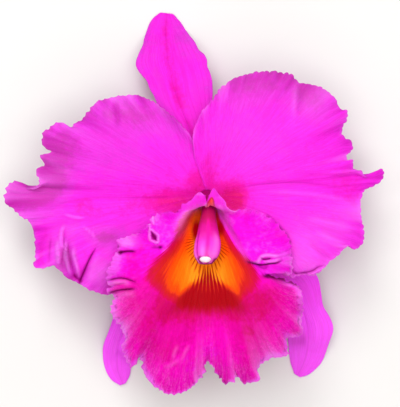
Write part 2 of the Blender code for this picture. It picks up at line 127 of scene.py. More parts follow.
# The lip's free edge, from the seam over the column, down its left side and up its right side.
LIP_EDGE = [
    (-0.1, -2, 44.6), (-1.5, 1, 47.2), (-3, 2, 48.5), (-4.7, 1, 49), (-6.5, -1.2, 48.5), (-10.3, -3.3, 47),
    (-12, -6.3, 46), (-16.5, -6.7, 45), (-20, -7, 45), (-23.5, -9, 45.5), (-25.2, -12.5, 46),
    (-29.5, -15, 45.5), (-33.5, -16.7, 45), (-37.7, -18.5, 44.5), (-37, -22, 45.5), (-39, -25, 45),
    (-41, -29.5, 45), (-42, -34.5, 45), (-40.7, -37, 44.5), (-41.7, -39.5, 44), (-38.5, -42.5, 44.5),
    (-40.2, -45.2, 44), (-39.5, -48.5, 43.5), (-37.7, -52.5, 44), (-35.2, -56, 43.5), (-33.5, -60, 43),
    (-36, -63.5, 42), (-35, -66, 41.5), (-32, -71, 40), (-28.5, -67.2, 41), (-27, -72.3, 40),
    (-25.5, -75.5, 39.5), (-22, -79.5, 38.5), (-18.5, -82, 37.5), (-15, -83.3, 37), (-11, -82.7, 37),
    (-7, -80.5, 37.5), (-4, -78, 38.5), (-1.5, -74, 40), (0, -68.5, 43), (2, -69.7, 42.5), (3.7, -73.5, 41),
    (6, -77.3, 39.5), (9, -79, 38.5), (11, -78, 38.5), (12, -74.7, 40.5), (13.5, -76.5, 39.5),
    (15.5, -78.3, 39), (19, -77.7, 38.5), (22, -76.5, 39), (20.7, -74, 40), (23, -70, 41), (26.5, -67.7, 42),
    (30.5, -66.7, 42), (33.7, -66.3, 41.5), (33.2, -61.5, 43), (32.5, -59.3, 44), (36, -58.7, 43.5),
    (39.3, -58, 43), (39.7, -52.5, 43.5), (40, -47, 44), (39.5, -42, 44.5), (38.3, -37.7, 45.5),
    (33.7, -35.2, 46.5), (28.5, -33.7, 47), (23.3, -32.3, 48), (26.5, -31, 50.5), (30.5, -31.2, 50),
    (34.5, -32.7, 48), (35.2, -27.5, 47), (34.7, -22, 46), (34.2, -17.5, 45.5), (30.7, -12.8, 45),
    (26.7, -9.3, 44.5), (21.5, -6.5, 44), (16.5, -5, 45), (13, -5.3, 46.5), (11, -6.3, 47),
    (8.7, -4.7, 48.5), (7.3, -1.7, 49.5), (4.7, 1.2, 49.5), (2.7, 3.7, 49), (1.2, 1.2, 47.5),
    (0.1, -1.6, 45.6),
]
LIP_HUB = (0, -15)
LIP_SEED = 81
LIP_BULGE = [
    (0, 0, -48, 68), (45, 23, -42, 72), (90, 14, -24, 59), (135, 7, -10, 47.5), (160, 3.4, -8.5, 45.5),
    (180, 0.2, -8, 44.5),
]

PETAL_SOFTENING = 0.06
LIP_SOFTENING = 0.05
LEFT_PETAL_WAVES = [(9, 1.4, 0.3, 4), (15, 0.8, 1.7, 6)]
RIGHT_PETAL_WAVES = [(8, 1.4, 0.9, 4), (14, 0.8, 0.2, 6)]
LIP_WAVES = [(13, 1.5, 0.4, 4), (21, 0.9, 2.0, 6)]
STALK_PATH = [
    (0, 0, OVARY_TOP, 4.8), (0, 0, 26.5, 4.6), (0, -0.8, 22, 4), (0, -4, 14.5, 3.6), (0, -11, 8, 3.2),
    (0, -22, 4.4, 3), (0, -40, 2.7, 2.7), (0, -62, 2.6, 2.6),
]

# The stalk's skin keeps just inside the solid stalk, and off the floor.
STALK_EASE = 0.985
STALK_LOWEST = 0.15

# Cells across and along each kind of blade; rings along and sides round each round piece.
PETAL_CELLS = (560, 86)
SEPAL_CELLS = (56, 140)
LIP_CELLS = (640, 72)
COLUMN_CELLS = (72, 64)
STALK_CELLS = (110, 60)

# Creases and ridges on each blade, with painted shade in the creases and painted highlight on the ridges:
# points in x and y, then the width and the height.
LEFT_PETAL_FOLDS = [
    ([(-38.2, 43), (-38, 36), (-37, 27)], 1.3, -0.9),
    ([(-41.5, 43), (-41.5, 36), (-40, 28)], 2, 0.5),
    ([(-8, 0), (-30, -0.5), (-48, -0.5), (-62, -3), (-72, -8)], 0.9, -0.45),
    ([(-28, -10.5), (-37, -14.5), (-43.5, -20), (-47, -24)], 2.6, -0.9),
    ([(-45.5, -19.5), (-48, -23.4), (-49.8, -26.7), (-51.9, -31.5), (-53.2, -34.6), (-55.5, -41)],
     0.6, -2.2),
    ([(-44, -23), (-48, -29), (-50.6, -37)], 1.5, 0.9),
    ([(-27, -16), (-38, -24), (-45, -31), (-49, -37)], 4.5, 0.6),
    ([(-60, -11), (-61.5, -15), (-61.5, -19), (-60.5, -23)], 0.6, 1.2),
    ([(-60.9, -11), (-60.5, -16), (-60.3, -21), (-61.2, -27), (-61, -32)], 0.5, -1),
    ([(-63, -17), (-63, -23), (-62.5, -30)], 0.6, 1.3),
    ([(-58.6, -17), (-58.6, -22), (-57.3, -28), (-55.5, -35)], 0.6, -1.3),
    ([(-59.6, -17), (-59.8, -23), (-58.9, -28), (-57.4, -34)], 0.55, 1.7),
    ([(-56, -20), (-56, -25), (-54.6, -30), (-53.8, -35)], 0.6, 1.4),
    ([(-57.2, -32), (-54.6, -34.6), (-52, -36.4)], 0.8, -1.1),
    ([(-61, -7), (-56, -8.5), (-51, -9)], 0.5, 0.7),
    ([(-53, -12), (-49, -15), (-46.5, -18)], 0.5, 0.6),
    ([(-66, -16), (-66.5, -22), (-67, -29)], 0.7, -0.7),
    ([(-52, 22), (-60, 25), (-65, 28)], 2.6, -0.8),
    ([(-55, 9), (-64, 13), (-70, 16)], 1.6, 0.7),
]
RIGHT_PETAL_FOLDS = [
    ([(37.6, 49), (37, 42), (36, 33)], 1.2, 0.8),
    ([(40.5, 47), (40, 40), (38.5, 32)], 1.5, -0.6),
    ([(8, 3), (20, 5), (40, 6), (57, 4.5), (70, 8)], 0.9, -0.5),
    ([(38, 9), (50, 9.5), (62, 9)], 0.8, -0.35),
    ([(22, 2), (40, 1.5), (56, -1), (64, -4)], 1, 0.4),
    ([(34.5, -33), (35.5, -30.5), (37, -32), (41.5, -31.8), (44.5, -31), (47, -29.4), (51, -29)], 0.5, -1.4),
    ([(36, -34.4), (38.5, -32.6), (42, -33.2), (46, -31.5), (50, -29.8)], 0.5, 1.2),
    ([(34.4, -17), (34.3, -22), (34.2, -27), (34.4, -33)], 0.45, 1),
    ([(45, -14), (53, -18), (60, -21)], 1.2, 0.7),
    ([(42, -18), (49, -24), (54, -27)], 1.2, -0.6),
    ([(40, -8), (52, -11), (64, -14)], 1.3, 0.6),
]
LIP_FOLDS = [
    ([(-38.4, -23.6), (-35.5, -23), (-32.8, -22.7), (-28.6, -22.9)], 0.6, -1.6),
    ([(-37.4, -23.7), (-36.2, -23.4), (-35, -23.2)], 0.8, -1.2),
    ([(-39, -19), (-37.8, -20.2), (-36.4, -21.5)], 0.6, -1.2),
    ([(-22.7, -7.5), (-22.5, -9.5), (-22.3, -12)], 0.35, 1.2),
    ([(-24.4, -9.5), (-24, -12), (-23.8, -14.6)], 0.35, 1.2),
    ([(-37, -20.9), (-33.5, -19.3), (-30, -20.7)], 1.3, 0.8),
    ([(-35, -16.6), (-31.8, -15.1), (-28.5, -16.6)], 1, 0.8),
    ([(-43, -35.3), (-38.9, -34.2), (-36.4, -33.8), (-33.1, -34.2), (-28, -36.3)], 0.5, -1.5),
    ([(-41.5, -36.2), (-36.4, -35.3), (-31, -36.3)], 0.9, 0.7),
    ([(-43.5, -41), (-38.9, -39.5), (-35.6, -38.7), (-28, -38.2)], 0.6, -1.5),
    ([(-40, -42.2), (-35.6, -40.6), (-29, -40.2)], 1, 0.6),
    ([(21.8, -25.3), (23.4, -25.9), (25.4, -25.8), (27, -25.3)], 0.42, -1.9),
    ([(17, -27), (21, -26.9), (22.6, -24.8), (25, -24.2), (28.2, -24.6), (31.5, -24.4)], 0.5, 1.4),
    ([(22.5, -27.1), (25, -26.9), (28, -26.6), (31, -25.2)], 0.4, 1.2),
    ([(14, -26.8), (18.6, -27.4), (23, -28.2), (26, -27.7), (29, -27.4), (32.6, -25.6)], 0.5, -1.9),
    ([(20, -28), (23.5, -29.6), (26, -28.6)], 0.7, -0.8),
    ([(-18.9, -71.5), (-15, -70), (-10.5, -66.9)], 0.7, 0.35),
    ([(-14.3, -68.2), (-13.5, -64.5), (-11.7, -61.1)], 0.6, 0.35),
    ([(-10.9, -69), (-9.4, -65), (-7.2, -61.1)], 0.6, 0.35),
]

# Soft strokes of painted shadow below the edge of another blade, and of painted light where shade falls on
# the lip: points, width, strength.
LIP_SHADOWS = [([(21.5, -32.6), (28, -33.4), (33, -34.9), (40, -37.5)], 0.9, 1.1)]
RIGHT_PETAL_SHADOWS = [
    ([(24.5, -7), (27.6, -10.2), (30.5, -13), (33.2, -16.4), (34.6, -18.8), (35, -21)], 0.8, 1.5),
]
LEFT_SEPAL_SHADOWS = [([(-39.3, -66), (-37, -68.3), (-34.3, -70.5), (-32.3, -73.7)], 1.6, 0.22)]
RIGHT_SEPAL_SHADOWS = [([(29, -61), (36, -62), (44, -61.5)], 3.2, 0.4)]
PAINTED_LIP_LIGHTS = [
    ([(4.5, -3), (7, -8), (11, -16), (15.5, -24), (18, -28)], 1.1, 0.25),
    ([(-10, -7.5), (-8, -6.2), (-4, -4.2), (0, -3.8), (4, -4), (6.5, -5.6), (8, -7)], 1.3, 0.45),
]

# The small curled loop on the lip's left lobe.
CURL = [(-23.2, -14.5), (-22.3, -16.4), (-21.1, -18.2)]

# The throat's warm colours: at each y, how far they reach to the left and to the right.
THROAT = [
    (0.5, 0.8, 0.8), (-1.3, 2.2, 1.8), (-3.2, 4.4, 2.4), (-5.5, 8, 4.4), (-9.7, 10.8, 5.4),
    (-13.8, 12.2, 7.2), (-18, 13.4, 9.4), (-22.2, 16.2, 12.4), (-26.4, 20.6, 16.8), (-30.6, 23.4, 19.6),
    (-34.7, 23.8, 20), (-38.9, 20, 18.2), (-43, 15, 14), (-47, 10, 10),
]
# How warm it is at most, how that fades down its foot, and how its corners are raised or lowered.
MOST_WARM = 1.25
THROAT_FOOT = ([-52, -44, -40, -37, -33], [0, 0.2, 0.38, 0.62, MOST_WARM])
THROAT_CORNERS = ([8, 13, 21], [0, 2.6, -3.1])

# The column as it is seen from the front: x, y and half its width.
COLUMN_FRONT = [
    (0.9, -3, 1.8), (1.1, -8, 3), (0.7, -14, 4.1), (0.6, -18, 5.3), (-0.1, -22.5, 5.5), (-0.6, -26, 3),
]
# Its middle from the foot to the tip, and half its width and its depth at shares of that length.
COLUMN_SPINE = [
    (0, 0, 30.3), (0.2, -0.4, 32.4), (0.6, -2.8, 35.4), (0.4, -11, 43.4), (0.2, -19.6, 51.6), COLUMN_TIP,
]
COLUMN_SHARES = [0, 0.1, 0.3, 0.5, 0.62, 0.78, 0.92, 1]
COLUMN_HALVES = [
    (COLUMN_RADIUS, COLUMN_RADIUS), (3.1, 3.2), (3.0, 3.0), (4.0, 3.1), (4.6, 3.2), (5.5, 3.3), (4.8, 2.6),
    (2.9, 1.2),
]


def through(points, share, flat=2):
    """Points on a smooth curve through the given ones, at shares of its length in its first axes."""
    points = np.array(points, float)
    at = np.concatenate([[0.0], np.cumsum(np.linalg.norm(np.diff(points[:, :flat], axis=0), axis=1))])
    at /= at[-1]
    return on_curve(at, points, share)


def on_curve(at, points, share):
    """A cubic through points, one for each place in at, read at every share."""
    at = np.asarray(at, float)
    slopes = np.gradient(points, at, axis=0)
    share = np.clip(np.atleast_1d(share), at[0], at[-1])
    k = np.clip(np.searchsorted(at, share, side="right") - 1, 0, len(at) - 2)
    width = (at[k + 1] - at[k])[:, None]
    f = (share - at[k])[:, None] / width
    start, end = points[k], points[k + 1]
    return (
        (2 * f**3 - 3 * f**2 + 1) * start
        + (f**3 - 2 * f**2 + f) * width * slopes[k]
        + (3 * f**2 - 2 * f**3) * end
        + (f**3 - f**2) * width * slopes[k + 1]
    )


def softened(edge, share, window):
    """The edge without its notches: an average over a stretch that shrinks towards its ends."""
    reach = np.minimum(window, np.minimum(share, 1 - share))
    total, weights = 0, 0
    for offset in np.linspace(-0.9, 0.9, 13):
        weight = 1 + math.cos(math.pi * offset)
        total = total + weight * through(edge, share + offset * reach)
        weights += weight
    return total / weights


def smooth(low, high, value):
    """0 below low, 1 above high, and an even turn between."""
    f = np.clip((value - low) / (high - low), 0, 1)
    return f * f * (3 - 2 * f)


def unit(vectors):
    return vectors / (np.linalg.norm(vectors, axis=-1, keepdims=True) + 1e-9)


def bell(value, width, power=2):
    """1 where the value is 0, fading to both sides over about the width."""
    return np.exp(-((value / width) ** power))


def band(value, low, full, waning, high):
    """1 from full to waning, 0 below low and above high."""
    return smooth(low, full, value) * (1 - smooth(waning, high, value))


def ends(share, fade):
    """1 along a line, falling to 0 at both its ends."""
    return smooth(0, fade, share) * smooth(0, fade, 1 - share)


def noise(x, seed):
    """Smooth noise along a line, from -1 to 1."""
    table = np.random.default_rng(seed).uniform(-1, 1, 512)
    i = np.floor(x).astype(int)
    f = smooth(0, 1, x - i)
    return table[i % 512] * (1 - f) + table[(i + 1) % 512] * f


def noise2(x, y, seed):
    """Smooth noise over a plane, from -1 to 1."""
    table = np.random.default_rng(seed).uniform(-1, 1, (64, 64))
    i, j = np.floor(x).astype(int), np.floor(y).astype(int)
    f, g = smooth(0, 1, x - i), smooth(0, 1, y - j)
    low, high = (table[i % 64, k] * (1 - f) + table[(i + 1) % 64, k] * f for k in (j % 64, (j + 1) % 64))
    return low * (1 - g) + high * g


def settled(edge, s, t, window, teeth, hub):
    """The edge that a blade follows at every t: broad near its root, with every notch and tooth at its rim.

    Moves to the side come last, so that a lobe that leans over a notch doesn't cover it.
    """
    broad = softened(edge, s, 2.5 * window)
    soft = softened(edge, s, window)
    fine = through(edge, s)
    ahead = np.gradient(fine, axis=0)
    out = unit(np.stack([-ahead[:, 1], ahead[:, 0], 0 * s], axis=1))
    change = fine + out * teeth[:, None] - soft
    outward = unit(soft[:, :2] - hub)
    aside = change.copy()
    aside[:, 2] = 0
    aside[:, :2] -= (change[:, :2] * outward).sum(axis=1)[:, None] * outward
    return (
        broad[:, None]
        + (soft - broad)[:, None] * smooth(0.3, 0.9, t)[None, :, None]
        + (change - aside)[:, None] * smooth(0.6, 1, t)[None, :, None]
        + aside[:, None] * smooth(0.93, 1, t)[None, :, None]
    )


def nearest(points, x, y):
    """How far every spot is from a smooth line, and the share of the line where that is."""
    line = through(points, np.linspace(0, 1, 33))
    far = np.full(x.shape, 1e9)
    share = np.zeros(x.shape)
    for k in range(len(line) - 1):
        a, d = line[k], line[k + 1] - line[k]
        f = np.clip(((x - a[0]) * d[0] + (y - a[1]) * d[1]) / (d @ d), 0, 1)
        away = np.hypot(x - a[0] - f * d[0], y - a[1] - f * d[1])
        closer = away < far
        far = np.where(closer, away, far)
        share = np.where(closer, (k + f) / (len(line) - 1), share)
    return far, share


def folds(spots, rows):
    """Adds creases and ridges, and returns their painted shade in the creases and painted highlight on the
    ridges.
    """
    x, y, z = np.moveaxis(spots, -1, 0)
    painted_shade, light = 0, 0
    for points, width, height in rows:
        far, share = nearest(points, x, y)
        one = bell(far, width) * ends(share, 0.3)
        z += height * one
        crisp = min(1, 0.8 / width)
        painted_shade = painted_shade + max(-height, 0) * crisp * one
        light = light + max(height, 0) * crisp * one
    return painted_shade, light


def strokes(x, y, rows):
    """The sum of soft lines: points, width and strength."""
    total = 0 * x
    for points, width, strength in rows:
        far, share = nearest(points, x, y)
        total = total + strength * bell(far, width) * ends(share, 0.15)
    return total


def crenate(x, seed):
    """Rounded teeth of uneven sizes with sharp notches between them, from 0 to 1."""
    table = np.random.default_rng(seed).uniform(0.25, 1, 512)
    x = x + 0.35 * noise(0.6 * x, seed + 1)
    i = np.floor(x).astype(int)
    return table[i % 512] * (1 - np.abs(2 * (x - i) - 1) ** 2.5)


def beside_column(x, y):
    """How far every spot is outside the column's outline."""
    line = np.array(COLUMN_FRONT)
    far, share = nearest(line[:, :2], x, y)
    return far - through(COLUMN_FRONT, share.ravel())[:, 2].reshape(share.shape)


def blobs(x, y, rows):
    """The sum of soft spots: centre, half width and half height, and strength."""
    spots = (power * bell(x - cx, wide) * bell(y - cy, high) for cx, cy, wide, high, power in rows)
    return sum(spots, 0 * x)


def wave(z, rows, free, s, t):
    """Long waves: their count, height and phase, and the power that they grow outwards with."""
    for count, size, phase, power in rows:
        z += size * free * t**power * np.sin(2 * math.pi * count * s + phase)


def petal_spots(edge, claw, waves, rows, seed):
    """A fan from an arc round the column's foot to the petal's edge, arched, waved and creased."""
    s = np.linspace(0, 1, PETAL_CELLS[0] + 1)
    t = 1 - (1 - np.linspace(0, 1, PETAL_CELLS[1] + 1)) ** 1.6
    first, last = claw
    turns = np.radians(first + (last - first) * s)
    seat = [SEAT_RADIUS * np.cos(turns), SEAT_RADIUS * np.sin(turns), PETAL_SEAT + 0 * s]
    root = np.stack(seat, axis=1)
    free = ends(s, 0.12)
    ragged = 0.65 + 0.35 * noise(s * 24, seed + 6)
    teeth = free * ragged * (1.3 * crenate(s * 95, seed) - 0.6 + 0.5 * noise(s * 150, seed + 1))
    rim = settled(edge, s, t, PETAL_SOFTENING, teeth, (0, 0))
    tt = t[None, :, None]
    spots = root[:, None] * (1 - tt) + rim * tt
    s, t = np.meshgrid(s, t, indexing="ij")
    free = free[:, None]
    z = spots[..., 2]
    z += PETAL_ARCH * free * t * t * (1 - t) / (4 / 27)
    wave(z, waves, free, s, t)
    ruffle = free * t**9 * (0.9 * noise(s * 46, seed + 2) + 0.5 * noise(s * 105, seed + 3))
    z += ruffle + free * 0.25 * t * noise2(s * 30, t * 5, seed + 4)
    painted_shade, light = folds(spots, rows)
    # Painted shade in the ruffles' troughs and painted highlight on their crests join the folds'.
    return spots, s, t, painted_shade + np.maximum(-ruffle, 0), light + np.maximum(ruffle, 0)


def sepal_spots(rows, seed):
    """A strip along the midrib, folded a little at it, with its tip flat on the surface."""
    s = np.linspace(0, 1, SEPAL_CELLS[0] + 1)
    t = np.linspace(0, 1, SEPAL_CELLS[1] + 1)
    spine = through(rows, t)
    ahead = through(rows, t + 0.01) - through(rows, t - 0.01)
    left = unit(np.stack([-ahead[:, 1], ahead[:, 0], 0 * t], axis=1))
    s, t = np.meshgrid(s, t, indexing="ij")
    v = 1 - 2 * s
    reach = np.where(v > 0, spine[None, :, 3], spine[None, :, 4]) * v
    reach *= 1 + 0.03 * np.abs(v) ** 6 * noise(t * 22 + np.sign(v) * 40, seed)
    spots = spine[None, :, :3] + left[None] * reach[..., None]
    away = smooth(0.1, 0.35, t)
    z = spots[..., 2]
    z += away * (0.11 * np.abs(reach) + 0.5 * np.sin(9 * t) * v * v - 0.5 * bell(reach, 0.9))
    z += away * (0.3 * noise2(s * 6, t * 9, seed + 1) + 0.12 * noise2(s * 22, t * 5, seed + 2))
    z += smooth(0.8, REST_FROM, t) * (SEPAL_SEAT - z)
    return spots, s, t


def lip_spots(seed):
    """A fan from the ring round the column's foot, through the throat, out to the frilled edge."""
    s = np.linspace(0, 1, LIP_CELLS[0] + 1)
    t = 1 - (1 - np.linspace(0, 1, LIP_CELLS[1] + 1)) ** 1.3
    broad = softened(LIP_EDGE, s, 2 * LIP_SOFTENING)
    turn = np.arctan2(broad[:, 0] - LIP_HUB[0], LIP_HUB[1] - broad[:, 1])
    ring = turn * CLAW_TURN / 180
    root = FOOT + CLAW_RADIUS * (np.sin(ring)[:, None] * SIDE - np.cos(ring)[:, None] * AHEAD_UP)
    rows = np.array(LIP_BULGE, float)
    bulge = on_curve(rows[:, 0], rows[:, 1:], np.degrees(np.abs(turn)))
    bulge[:, 0] *= np.sign(turn)
    free = 1 - smooth(125, 160, np.degrees(np.abs(turn)))
    ragged = 0.7 + 0.3 * noise(s * 30, seed + 6)
    teeth = free * ragged * (2.1 * crenate(s * 140, seed) - 0.9 + 0.5 * noise(s * 210, seed + 1))
    rim = settled(LIP_EDGE, s, t, LIP_SOFTENING, teeth, LIP_HUB)
    tt = t[None, :, None]
    spots = root[:, None] * (1 - tt) ** 2 + bulge[:, None] * 2 * tt * (1 - tt) + rim * tt**2
    s, t = np.meshgrid(s, t, indexing="ij")
    free = free[:, None]
    z = spots[..., 2]
    wave(z, LIP_WAVES, free, s, t)
    ruffle = free * t**8 * (1.0 * noise(s * 70, seed + 2) + 0.6 * noise(s * 150, seed + 3))
    z += ruffle + free * 0.3 * t**2 * noise2(s * 60, t * 6, seed + 4)
    painted_shade, light = folds(spots, LIP_FOLDS)
    # Painted shade in the ruffles' troughs and painted highlight on their crests join the folds'.
    painted_shade = painted_shade + 0.35 * np.maximum(-ruffle, 0)
    light = light + np.maximum(ruffle, 0)
    return spots, s, t, np.degrees(turn)[:, None] + 0 * t, painted_shade, light


def begun(name, points=np.empty((0, 3)), faces=()):
    """A mesh, and the same mesh open for editing."""
    mesh = bpy.data.meshes.new(name)
    mesh.from_pydata(((points + AXIS) * MM).tolist(), [], faces)
    bm = bmesh.new()
    bm.from_mesh(mesh)
    return mesh, bm


def done(bm, mesh):
    bm.to_mesh(mesh)
    bm.free()
    mesh.shade_smooth()


def store(mesh, key, values):
    mesh.attributes.new(key, "FLOAT", "POINT").data.foreach_set("value", values.astype(np.float32))


def grid_mesh(name, spots, thick, uv, marks):
    """A closed sheet: the grid of spots thickened along its normals."""
    across, along = spots.shape[:2]
    normal = unit(np.cross(np.gradient(spots, axis=0), np.gradient(spots, axis=1)))
    if normal[..., 2].mean() < 0:
        normal = -normal
    half = 0.5 * thick[..., None] * normal
    points = np.concatenate([(spots + half).reshape(-1, 3), (spots - half).reshape(-1, 3)])
    index = np.arange(across * along).reshape(across, along)
    a, b, c, d = index[:-1, :-1], index[1:, :-1], index[1:, 1:], index[:-1, 1:]
    top = np.stack([a, b, c, d], axis=-1).reshape(-1, 4)
    border = np.concatenate([index[:, 0], index[-1, 1:], index[-2::-1, -1], index[0, -2:0:-1]])
    after = np.roll(border, -1)
    other = across * along
    wall = np.stack([border, border + other, after + other, after], axis=-1)
    faces = np.concatenate([top, top[:, ::-1] + other, wall])
    mesh, bm = begun(name, points, faces.tolist())
    if bm.calc_volume(signed=True) < 0:
        bmesh.ops.reverse_faces(bm, faces=bm.faces[:])
    done(bm, mesh)
    layer = mesh.uv_layers.new(name="across_along")
    order = np.empty(len(mesh.loops), np.int32)
    mesh.loops.foreach_get("vertex_index", order)
    flat = np.stack([uv[0].ravel(), uv[1].ravel()], axis=1)
    layer.data.foreach_set("uv", flat[order % other].astype(np.float32).ravel())
    for key, values in marks.items():
        store(mesh, key, np.tile(np.clip(values, 0, 1).ravel(), 2))
    return mesh


def ring_mesh(name, rings, sides, place):
    """A tube through rings of points, with both ends closed by a fan."""
    u = np.linspace(0, 1, rings)
    turn = np.linspace(0, 2 * math.pi, sides, endpoint=False)
    rows = np.array([[place(a, b, 1.0) for b in turn] for a in u])
    points = np.concatenate([rows.reshape(-1, 3), [place(0, 0, 0)], [place(1, 0, 0)]])
    index = np.arange(rings * sides).reshape(rings, sides)
    after = np.roll(index, -1, axis=1)
    faces = np.stack([index[:-1], after[:-1], after[1:], index[1:]], axis=-1).reshape(-1, 4).tolist()
    for j, k in zip(index[0], after[0]):
        faces.append((rings * sides, k, j))
    for j, k in zip(index[-1], after[-1]):
        faces.append((rings * sides + 1, j, k))
    mesh, bm = begun(name, points, faces)
    bmesh.ops.recalc_face_normals(bm, faces=bm.faces[:])
    done(bm, mesh)
    store(mesh, "along", np.concatenate([np.repeat(u, sides), [0.0, 1.0]]))
    store(mesh, "across", np.concatenate([np.tile(turn / (2 * math.pi), rings), [0.25, 0.25]]))
    return mesh


def placed(data):
    obj = bpy.data.objects.new(data.name, data)
    bpy.context.scene.collection.objects.link(obj)
    return obj


def dress(mesh, node, look):
    """Puts a piece in the scene in place of a solid part."""
    obj = placed(mesh)
    obj.data.materials.append(look)
    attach(obj, "root")
    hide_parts(node)
    return obj


class Look:
    """A material's node tree. Each call adds a node and returns what comes out of it."""

    def __init__(self, name):
        self.material = bpy.data.materials.new(name)
        self.material.use_nodes = True
        self.tree = self.material.node_tree

    def add(self, kind, inputs=(), output=0, **settings):
        node = self.tree.nodes.new(kind)
        for key, value in settings.items():
            setattr(node, key, value)
        for key, value in dict(inputs).items():
            self.put(node.inputs[key], value)
        return node.outputs[output]

    def put(self, socket, value):
        if isinstance(value, bpy.types.NodeSocket):
            self.tree.links.new(value, socket)
        elif isinstance(value, tuple) and socket.type == "RGBA":
            socket.default_value = (*value, 1)
        else:
            socket.default_value = value

    def finished(self, colour, rough, settings=()):
        for key, value in {"Base Color": colour, "Roughness": rough, **dict(settings)}.items():
            self.put(self.tree.nodes["Principled BSDF"].inputs[key], value)
        return self.material

    def tissue(self, colour, rough, soaking, depths, normal, settings=()):
        soft = {"Subsurface Weight": soaking, "Subsurface Radius": depths, "Normal": normal}
        return self.finished(colour, rough, {**soft, **dict(settings)})

    def blade(self, colour, rough, normal, sheen, sheen_tint, shine):
        """The tissue of a petal, a sepal or the lip, faintly velvety."""
        return self.tissue(colour, rough, BLADE_SOAKING, BLADE_DEPTHS, normal, {
            "Subsurface Scale": 1.0, "Sheen Weight": sheen, "Sheen Roughness": 0.4,
            "Sheen Tint": sheen_tint, "Specular IOR Level": shine,
        })

    def math(self, operation, first, second=0.0):
        return self.add("ShaderNodeMath", {0: first, 1: second}, operation=operation)

    def times(self, first, second):
        return self.math("MULTIPLY", first, second)

    def swayed(self, value, cloud, share):
        """The value, moved up and down by a share of the cloud."""
        return self.math("ADD", value, self.times(self.math("SUBTRACT", cloud, 0.5), share))

    def between(self, value, low, high, out_low=0.0, out_high=1.0):
        """The value taken from one range to another, easing at both ends."""
        inputs = {"Value": value, "From Min": low, "From Max": high, "To Min": out_low, "To Max": out_high}
        return self.add("ShaderNodeMapRange", inputs, interpolation_type="SMOOTHSTEP")

    def mix(self, share, first, second):
        return self.add("ShaderNodeMix", {0: share, 6: first, 7: second}, 2, data_type="RGBA")

    def tinted(self, colour, *rows):
        """The colour under tints: where each lies, its share there and its colour."""
        for where, most, tint in rows:
            colour = self.mix(self.times(where, most), colour, tint)
        return colour

    def mark(self, name):
        return self.add("ShaderNodeAttribute", (), "Fac", attribute_name=name)

    def ramp(self, value, stops):
        colour = self.add("ShaderNodeValToRGB", {"Fac": value})
        band = colour.node.color_ramp
        band.interpolation = "EASE"
        while len(band.elements) < len(stops):
            band.elements.new(0.5)
        for element, (place, shade) in zip(band.elements, stops):
            element.position = place
            element.color = (*shade, 1)
        return colour

    def grid(self, across, along):
        """The blade's own coordinates, stretched."""
        uv = self.add("ShaderNodeUVMap", uv_map="across_along")
        return self.add("ShaderNodeMapping", {"Vector": uv, "Scale": (across, along, 1)})

    def cloud(self, vector, scale, detail=2.0, rough=0.5):
        inputs = {"Vector": vector, "Scale": scale, "Detail": detail, "Roughness": rough}
        return self.add("ShaderNodeTexNoise", inputs)

    def place(self):
        return self.add("ShaderNodeTexCoord", (), "Object")

    def away(self, value, middle):
        return self.math("ABSOLUTE", self.math("SUBTRACT", value, middle))

    def line(self, value, width):
        """1 where the value crosses a half, falling to 0 at the given width."""
        return self.between(self.away(value, 0.5), 0.0, width, 1.0, 0.0)

    def rays(self, count):
        """Waves from -1 to 1 round the throat."""
        return self.math("SINE", self.times(self.mark("spin"), 2 * math.pi * count))

    def bump(self, height, distance, strength, normal=None):
        inputs = {"Height": height, "Distance": distance, "Strength": strength}
        if normal is not None:
            inputs["Normal"] = normal
        return self.add("ShaderNodeBump", inputs)


# Each cloud: its scale, in cells a metre, then its detail and its roughness.
PETAL_BLOTCHES = (90, 3, 0.6)
PETAL_MOTTLE = (420, 3, 0.7)
LIP_BLOTCHES = (120, 3, 0.6)
LIP_MOTTLE = (520, 2, 0.6)
LIP_SPECKS = (1100, 2, 0.6)
CELL_GRAIN = (2600, 1)

# Veins on each kind of blade: coarse and fine ones across it, and bends along it.
PETAL_VEINS = (60, 190, 2.5)
SEPAL_VEINS = (9, 34, 1.6)
LIP_VEINS = (90, 260, 3)

# Colours along a ramp. The petals' go from deep pink, which paints the shade in their hollows, to the dull
# lilac of their rims.
PETAL_STOPS = [
    (0, (0.66, 0, 0.17)), (0.25, (0.78, 0.004, 0.36)), (0.5, (0.84, 0.018, 0.66)),
    (0.75, (0.68, 0.034, 0.60)), (1, (0.50, 0.036, 0.38)),
]
LOWER_SEPAL_STOPS = [
    (0, (0.80, 0, 0.5)), (0.4, (0.96, 0.03, 0.90)), (0.6, (0.97, 0.045, 0.96)),
    (1, (0.95, 0.12, 0.95)),
]
THROAT_STOPS = [
    (0, (0.72, 0, 0.26)), (0.2, (0.54, 0.002, 0.05)), (0.38, (0.53, 0.010, 0.012)),
    (0.56, (0.84, 0.06, 0.002)), (0.78, (0.92, 0.15, 0.002)), (1, (0.94, 0.27, 0.008)),
]
LIP_STOPS = [
    (0, (0.52, 0, 0.10)), (0.25, (0.66, 0, 0.27)), (0.5, (0.84, 0, 0.42)),
    (0.75, (0.84, 0.004, 0.66)), (1, (0.85, 0.06, 0.76)),
]
# The column's: darkest at its foot, as painted shade under the lip's hood, through magenta to lilac, and a
# last band at the tip that is painted shade below the cap.
COLUMN_STOPS = [
    (0, (0.30, 0, 0.12)), (0.25, (0.36, 0, 0.09)), (0.42, (0.47, 0.006, 0.10)),
    (0.62, (0.70, 0.006, 0.30)), (0.82, (0.82, 0.03, 0.58)), (0.93, (0.72, 0.06, 0.50)),
    (0.965, (0.20, 0, 0.06)),
]
STALK_STOPS = [(0.2, (0.10, 0.20, 0.03)), (0.5, (0.20, 0.36, 0.07)), (0.8, (0.34, 0.48, 0.14))]

